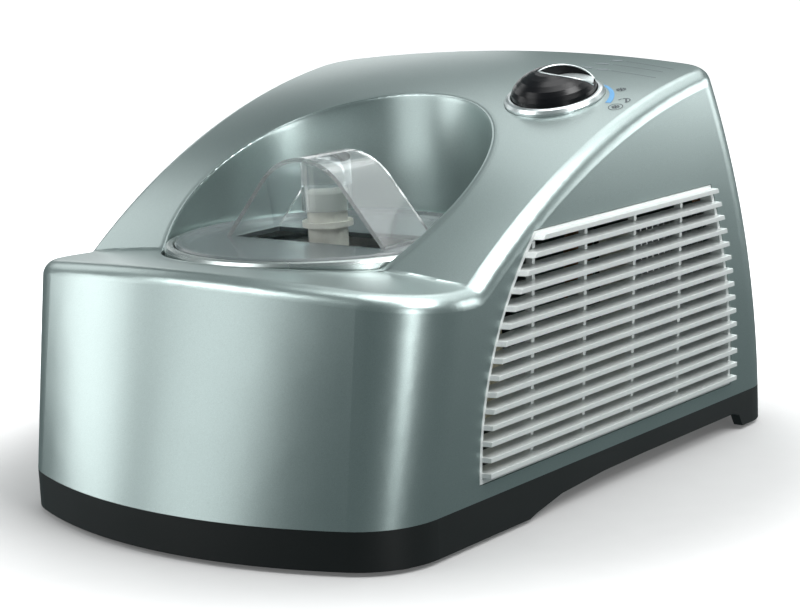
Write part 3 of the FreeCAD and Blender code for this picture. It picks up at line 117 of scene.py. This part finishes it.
# Metal, foam and plastic inside
spun = material("spun_aluminium", (0.72, 0.73, 0.74), 0.32, 1.0, grain=1400, tint=0.08, bump=0.05)
copper = material("drawn_copper", (0.66, 0.36, 0.22), 0.35, 1.0, grain=500, tint=0.15)
steel = material("turned_steel", (0.55, 0.55, 0.56), 0.30, 1.0, grain=1200, tint=0.1)
foam = material("pressed_foam", (0.72, 0.66, 0.48), 0.85, grain=380, tint=0.14, bump=0.3)
inner_black = material("inner_moulding", (0.02, 0.02, 0.022), 0.55, grain=1200, tint=0.2, bump=0.08)
enamel = material("compressor_enamel", (0.012, 0.012, 0.013), 0.28, grain=500, tint=0.25, bump=0.06)
acetal = material("gear_acetal", (0.78, 0.75, 0.66), 0.45, grain=800, tint=0.04)

# Printing ink
ink_blue = material("blue_ink", (0.10, 0.28, 0.50), 0.45, grain=3000, tint=0.08)
ink_dark = material("dark_ink", (0.05, 0.06, 0.07), 0.5, grain=3000, tint=0.15)
ink_grey = material("grey_ink", (0.16, 0.19, 0.20), 0.5, grain=3000, tint=0.10)

finishes = {
    silver: ("upper_housing",),
    grille_silver: ("right_grille", "left_grille"),
    collar_silver: ("bowl_collar",),
    black: ("base_tray",),
    rubber: ("rubber_feet", "shaft_seal", "compressor_mounts", "cord_gland"),
    knob_black: ("control_knob",),
    bezel: ("knob_bezel",),
    smoky: ("lid_disc",),
    clear: ("lid_arch",),
    cream: ("mixing_paddle",),
    spun: ("evaporator_bowl", "removable_bowl", "condenser"),
    copper: ("evaporator_coil", "filter_drier", "discharge_pipe", "liquid_pipe", "capillary_pipe",
             "suction_pipe"),
    steel: ("housing_screws", "drive_shaft", "motor_worm", "drive_motor", "fan_motor", "fan_bracket"),
    foam: ("insulation_jacket",),
    inner_black: ("selector_switch", "gearbox_case", "relay_cover", "fan_shroud", "fan_rotor"),
    enamel: ("compressor",),
    acetal: ("worm_wheel",),
}
for finish, names in finishes.items():
    for name in names:
        for slot in nodes[name].material_slots:
            slot.material = finish

# Rounded edges of the slats and ribs, which catch the light
SLAT_ROUNDING = 0.7
ROUNDING_SEGMENTS = 3
SHARP_EDGE = math.radians(40)
WELD_REACH = 0.01
FLATNESS = 90
for side in ("right_grille", "left_grille"):
    weld = nodes[side].modifiers.new("weld", "WELD")
    weld.merge_threshold = WELD_REACH * MM
    bevel = nodes[side].modifiers.new("edges", "BEVEL")
    bevel.width = SLAT_ROUNDING * MM
    bevel.segments = ROUNDING_SEGMENTS
    bevel.limit_method = "ANGLE"
    bevel.angle_limit = SHARP_EDGE
    flats = nodes[side].modifiers.new("flats", "WEIGHTED_NORMAL")
    flats.weight = FLATNESS

# Pieces laid on the CAD, with sizes and places in millimetres
SKIN = 0.12
RAY_HEIGHT = 400
STROKE_STEP = 1.5


def new_piece(name, points, faces, finish, carrier):
    """A piece of the scene that rides on a body of the CAD."""
    mesh = bpy.data.meshes.new(name)
    mesh.from_pydata([tuple(point) for point in points], [], faces)
    mesh.shade_smooth()
    mesh.materials.append(finish)
    piece = bpy.data.objects.new(name, mesh)
    scene.collection.objects.link(piece)
    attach(piece, carrier)


def housing_top(x, y):
    """Point and normal of the housing under a spot."""
    start = Vector((x * MM, y * MM, RAY_HEIGHT * MM))
    _, point, normal, _ = nodes["upper_housing"].ray_cast(start, Vector((0, 0, -1)))
    return point, normal


def on_housing(x, y):
    """Point just off the housing's surface at a spot."""
    point, normal = housing_top(x, y)
    return point + normal * SKIN * MM


def lattice(rows, closed=False):
    """Points and faces of rows of equal length, with the last row joined to the first where closed."""
    width = len(rows[0])
    count = len(rows)
    faces = []
    for i in range(count if closed else count - 1):
        here = i * width
        there = (i + 1) % count * width
        faces += [(here + k, there + k, there + k + 1, here + k + 1) for k in range(width - 1)]
    return [point for row in rows for point in row], faces


def stroke(path, width, taper=0.0):
    """Rows of a flat printed line that follows the housing along a path."""
    spots = []
    for (x0, y0), (x1, y1) in zip(path, path[1:]):
        count = max(1, round(math.dist((x0, y0), (x1, y1)) / STROKE_STEP))
        spots += [(x0 + (x1 - x0) * i / count, y0 + (y1 - y0) * i / count) for i in range(count)]
    spots.append(path[-1])
    last = len(spots) - 1
    rows = []
    for i, (x, y) in enumerate(spots):
        before = spots[max(0, i - 1)]
        after = spots[min(last, i + 1)]
        length = math.dist(before, after)
        across = ((before[1] - after[1]) / length, (after[0] - before[0]) / length)
        half = width / 2 * (1 - taper * (1 - i / last))
        rows.append([on_housing(x + across[0] * half * side, y + across[1] * half * side)
                     for side in (-1, 1)])
    return rows


def printed(name, strokes, finish):
    """One printed piece made of several strokes."""
    points, faces = [], []
    for rows in strokes:
        more, quads = lattice(rows)
        faces += [tuple(k + len(points) for k in quad) for quad in quads]
        points += more
    new_piece(name, points, faces, finish, "base")


def polar(center, radius, degrees):
    """Point at a distance and a bearing from a centre."""
    angle = math.radians(degrees)
    return (center[0] + radius * math.cos(angle), center[1] + radius * math.sin(angle))


def turned_path(center, radius, start, end, count):
    """Points along an arc between two bearings."""
    return [polar(center, radius, start + (end - start) * i / count) for i in range(count + 1)]


def shifted(spot, offsets):
    """Points at offsets from a spot."""
    return [(spot[0] + dx, spot[1] + dy) for dx, dy in offsets]


# Blue arc beside the knob, wider towards the front
ARC_STEPS = 24
ARC_SWEEP = 54
ARC_RADIUS = 28.3
ARC_GROWTH = 6.4
ARC_WIDTH = 3.4
ARC_TAPER = 0.55
knob_center = Vector(joints["knob_turn"]["pos_m"])
dial = (knob_center.x / MM, knob_center.y / MM)
arc = [polar(dial, ARC_RADIUS + ARC_GROWTH * i / ARC_STEPS, ARC_SWEEP - ARC_SWEEP * i / ARC_STEPS)
       for i in range(ARC_STEPS + 1)]
printed("dial_arc", [stroke(arc, ARC_WIDTH, ARC_TAPER)], ink_blue)

# Dial symbols: a flake, a stirring arrow and a ringed flake
FLAKE_SPOT = (115.5, 62.1)
FLAKE_SIZE = 3.0
STIR_SPOT = (126.4, 48.6)
STIR_RADIUS = 2.8
STIR_BEARINGS = (150, -60)
STIR_STEPS = 10
STIR_LINE = 0.6
STIR_TIP = ((-2.9, 1.4), (-3.7, -0.8))
PADDLE_BAR = ((-0.5, 2.0), (2.3, -2.4))
PADDLE_LINE = 1.0
COOL_SPOT = (126.2, 39.4)
COOL_SIZE = 2.4
COOL_RING = 3.9
RING_STEPS = 20
RING_LINE = 0.45
ARM_COUNT = 6
ARM_TURN = 10
ARM_LINE = 0.5
BARB_LINE = 0.4
BARB_SPREAD = 24
BARB_START = 0.55
BARB_END = 0.9


def snowflake(center, size):
    """Arms from the centre, each with two short barbs."""
    arms = []
    for k in range(ARM_COUNT):
        angle = 360 / ARM_COUNT * k + ARM_TURN
        arms.append(stroke([center, polar(center, size, angle)], ARM_LINE))
        for side in (-1, 1):
            inner = polar(center, size * BARB_START, angle)
            outer = polar(center, size * BARB_END, angle + side * BARB_SPREAD)
            arms.append(stroke([inner, outer], BARB_LINE))
    return arms


stir_mark = [stroke(turned_path(STIR_SPOT, STIR_RADIUS, *STIR_BEARINGS, STIR_STEPS), STIR_LINE),
             stroke(shifted(STIR_SPOT, STIR_TIP), STIR_LINE),
             stroke(shifted(STIR_SPOT, PADDLE_BAR), PADDLE_LINE)]
cool_ring = stroke(turned_path(COOL_SPOT, COOL_RING, 0, 360, RING_STEPS), RING_LINE)
cool_mark = snowflake(COOL_SPOT, COOL_SIZE) + [cool_ring]
printed("dial_marks", snowflake(FLAKE_SPOT, FLAKE_SIZE) + stir_mark + cool_mark, ink_dark)

# Plain legend behind the dial: three rows of short dashes, each with a thin ruled line
DASH_LINE = 2.2
RULE_LINE = 0.7
dashes = [((70.7, 91.7), (77.7, 91.9)),
          ((81.8, 89.9), (88.8, 91.1)),
          ((73.4, 101.4), (81.6, 102.2)),
          ((78.2, 110.5), (85.5, 111.4))]
rules = [((91.5, 89.8), (122.9, 86.1)),
         ((84.8, 101.8), (120.6, 97.6)),
         ((87.6, 111.1), (123.0, 105.3))]
printed("legend_dashes", [stroke(dash, DASH_LINE) for dash in dashes], ink_grey)
printed("legend_rules", [stroke(rule, RULE_LINE) for rule in rules], ink_grey)

# Rolled edge of the scoop, from the hump over the brink and down into the well
LID_CENTER = Vector((0, -56, 0))
SCOOP_RADIUS = 91.5
EDGE_STEPS = 144
EDGE_REACH = (4.0, 1.6)
EDGE_DROP = (1.6, 4.0)
BRINK_OUT = 0.2
BRINK_IN = 0.15
BRINK_DROP = 0.2


def edge_row(turn):
    """One row across the rolled edge, at a turn about the lid's centre."""
    out = Vector((math.cos(turn), math.sin(turn), 0))
    row = []
    for reach in EDGE_REACH:
        spot = LID_CENTER + out * (SCOOP_RADIUS + reach)
        row.append(on_housing(spot.x, spot.y))
    brink = LID_CENTER + out * (SCOOP_RADIUS + BRINK_OUT)
    height = housing_top(brink.x, brink.y)[0].z
    corner = Vector((brink.x * MM, brink.y * MM, height))
    row.append(corner - out * BRINK_IN * MM + Vector((0, 0, -BRINK_DROP * MM)))
    wall = (LID_CENTER + out * (SCOOP_RADIUS - SKIN)) * MM
    row += [Vector((wall.x, wall.y, height - drop * MM)) for drop in EDGE_DROP]
    return row


points, faces = lattice([edge_row(math.tau * i / EDGE_STEPS) for i in range(EDGE_STEPS)], closed=True)
new_piece("scoop_edge", points, faces, silver, "base")

# Finger recess of the knob: a satin line along its rim and a satin spoon-shaped floor
KNOB_RADIUS = 24.0
KNOB_BASE = 2.0
KNOB_RISE = 14.0
KNOB_CLEARANCE = 0.3
LEAF_START = -7.0
LEAF_LENGTH = 34.0
LEAF_WIDTH = 19.0
LEAF_FLOOR = 8.2
LEAF_TIP = 22.4
LEAF_STEPS = 28
POINTER = math.radians(30)
RIM_RADIUS = 0.45
RIM_SINK = 0.1
RIM_SIDES = 8
FLOOR_INSET = 0.35
FLOOR_LEAST = 0.3
FLOOR_DISH = 0.9
FLOOR_FALL = 2.2
FALL_START = 2.0
FLOOR_COLUMNS = 4
axis = Vector(joints["knob_turn"]["axis"]).normalized()
slope = Vector((axis.z, 0, -axis.x)).normalized()
ahead = slope * math.cos(POINTER) + axis.cross(slope) * math.sin(POINTER)
beside = axis.cross(ahead)


def on_knob(x, y, z):
    """Place of a point given along the leaf, across it and up the knob's axis."""
    return knob_center + (ahead * x + beside * y + axis * (z + KNOB_CLEARANCE)) * MM


def leaf_half(x):
    """Half width of the leaf-shaped recess at a distance along it."""
    radius = (LEAF_LENGTH ** 2 + LEAF_WIDTH ** 2) / (4 * LEAF_WIDTH)
    reach = x - LEAF_START - LEAF_LENGTH / 2
    return max(0.0, math.sqrt(max(0.0, radius ** 2 - reach ** 2)) - radius + LEAF_WIDTH / 2)


def dome_height(x, y):
    """Height of the knob's dome over its base."""
    share = min(1.0, math.hypot(x, y) / KNOB_RADIUS)
    return KNOB_BASE + KNOB_RISE * math.sqrt(max(0.0, 1 - share ** 2))


def rim_rows(steps):
    """Rings of a thin round line that follows the recess on the dome."""
    outline = [(x, -leaf_half(x)) for x in reversed(steps)] + [(x, leaf_half(x)) for x in steps[1:]]
    spine = [on_knob(x, y, dome_height(x, y) - RIM_SINK) for x, y in outline]
    turns = [math.tau * k / RIM_SIDES for k in range(RIM_SIDES + 1)]
    rows = []
    for i, point in enumerate(spine):
        along = (spine[min(len(spine) - 1, i + 1)] - spine[max(0, i - 1)]).normalized()
        side = along.cross(axis).normalized()
        lift = side.cross(along)
        rows.append([point + (side * math.cos(a) + lift * math.sin(a)) * RIM_RADIUS * MM for a in turns])
    return rows


def floor_rows(steps):
    """Rows across the recess, dished and falling away towards the tip."""
    shares = [k / FLOOR_COLUMNS for k in range(-FLOOR_COLUMNS, FLOOR_COLUMNS + 1)]
    rows = []
    for x in steps[1:]:
        half = max(FLOOR_LEAST, leaf_half(x) - FLOOR_INSET)
        fall = max(0.0, (x - FALL_START) / (LEAF_TIP - FALL_START)) ** 2 * FLOOR_FALL
        rows.append([on_knob(x, half * s, LEAF_FLOOR + SKIN - fall + FLOOR_DISH * s ** 2) for s in shares])
    return rows


leaf_steps = [LEAF_START + (LEAF_TIP - LEAF_START) * i / LEAF_STEPS for i in range(LEAF_STEPS + 1)]
points, faces = lattice(rim_rows(leaf_steps))
new_piece("recess_rim", points, faces, bezel, "knob")
points, faces = lattice(floor_rows(leaf_steps))
new_piece("recess_floor", points, faces, spoon, "knob")

# Camera at the photograph's viewpoint, in metres
IMAGE_WIDTH = 800
FOCAL_PX = 2117.3
SENSOR_WIDTH = 36
EYE = Vector((0.7486, -0.9217, 0.3224))
TARGET = Vector((0.0007, 0.0022, 0.0912))
ROLL = math.radians(-2.668)
CLIP_START = 0.05
back = (EYE - TARGET).normalized()
level = Vector((0, 0, 1)).cross(back).normalized()
right = level * math.cos(ROLL) + back.cross(level) * math.sin(ROLL)
up = back.cross(right)
camera_data = bpy.data.cameras.new("camera")
camera_data.sensor_width = SENSOR_WIDTH
camera_data.lens = FOCAL_PX / IMAGE_WIDTH * SENSOR_WIDTH
camera_data.clip_start = CLIP_START
camera = bpy.data.objects.new("camera", camera_data)
camera.matrix_world = Matrix.Translation(EYE) @ Matrix((right, up, back)).transposed().to_4x4()
scene.collection.objects.link(camera)
scene.camera = camera

# Studio: a pale floor that glows with painted light, brightening to white away from the machine, and soft
# lamps, in metres
FLOOR_HALF = 20
GLOW_REACH = (0.20, 0.38)
GLOW_LEVELS = (0.10, 1.05)
LAMP_AIM = Vector((0, 0, 0.1))
AMBIENT_COLOR = (0.72, 0.95, 0.97, 1)
AMBIENT_STRENGTH = 0.14


def glow(mat):
    """Makes the floor glow with painted light that rises with its distance from the machine."""
    tree = mat.node_tree
    shader = tree.nodes["Principled BSDF"]
    place = tree.nodes.new("ShaderNodeTexCoord")
    length = tree.nodes.new("ShaderNodeVectorMath")
    length.operation = "LENGTH"
    tree.links.new(place.outputs["Object"], length.inputs[0])
    spread = map_range(tree, length.outputs["Value"], GLOW_REACH, GLOW_LEVELS)
    spread.interpolation_type = "SMOOTHSTEP"
    # painted light: the floor's emission runs from dim near the machine to white far off, so lamp shadows
    # show only close by
    tree.links.new(spread.outputs["Result"], shader.inputs["Emission Color"])
    shader.inputs["Emission Strength"].default_value = 1.0


def lamp(name, azimuth, elevation, size, power, reach=1.8):
    """A soft box that faces the machine from a bearing in degrees, counted from +X towards +Y."""
    turn = math.radians(azimuth)
    rise = math.radians(elevation)
    out = Vector((math.cos(rise) * math.cos(turn), math.cos(rise) * math.sin(turn), math.sin(rise)))
    data = bpy.data.lights.new(name, "AREA")
    data.shape = "RECTANGLE"
    data.size, data.size_y = size
    data.energy = power
    obj = bpy.data.objects.new(name, data)
    obj.location = LAMP_AIM + out * reach
    obj.rotation_euler = out.to_track_quat("Z", "Y").to_euler()
    obj.visible_camera = False
    scene.collection.objects.link(obj)


corners = [(-FLOOR_HALF, -FLOOR_HALF, 0), (FLOOR_HALF, -FLOOR_HALF, 0), (FLOOR_HALF, FLOOR_HALF, 0),
           (-FLOOR_HALF, FLOOR_HALF, 0)]
floor_mesh = bpy.data.meshes.new("floor")
floor_mesh.from_pydata(corners, [], [(0, 1, 2, 3)])
floor = bpy.data.objects.new("floor", floor_mesh)
scene.collection.objects.link(floor)
# painted light: this floor glows white away from the machine through its emission
paper = material("pale_glowing_floor", (0.44, 0.44, 0.44), 0.7, grain=60, tint=0.01, bump=0.0)
glow(paper)
floor_mesh.materials.append(paper)
floor.visible_glossy = False
floor.visible_diffuse = False

lamp("overhead", 0, 88, (1.2, 1.2), 15)
lamp("left_box", 207, 5, (0.7, 0.8), 4.8)
lamp("front_left_box", 242, 4, (0.85, 0.8), 3.4)
lamp("corner_strip", 335, 8, (0.32, 0.7), 5.6)
lamp("rear_right_box", 58, 10, (0.9, 0.8), 8.5)
lamp("edge_box", 78, 50, (1.5, 1.2), 7.5)
lamp("high_rear_box", 118, 50, (1.0, 0.8), 2.8)
lamp("left_high_box", 176, 30, (0.8, 0.8), 2.6)
lamp("front_high_box", 236, 32, (0.9, 0.6), 9.0)
lamp("low_rear_box", 138, 13, (0.7, 0.4), 1.0, reach=1.4)
lamp("right_key", 4, 58, (0.8, 0.7), 17)
lamp("slat_box", 354, 40, (0.7, 0.4), 13)
world = bpy.data.worlds.new("studio")
world.use_nodes = True
background = world.node_tree.nodes["Background"]
background.inputs["Color"].default_value = AMBIENT_COLOR
background.inputs["Strength"].default_value = AMBIENT_STRENGTH
scene.world = world
scene.view_settings.view_transform = "Standard"
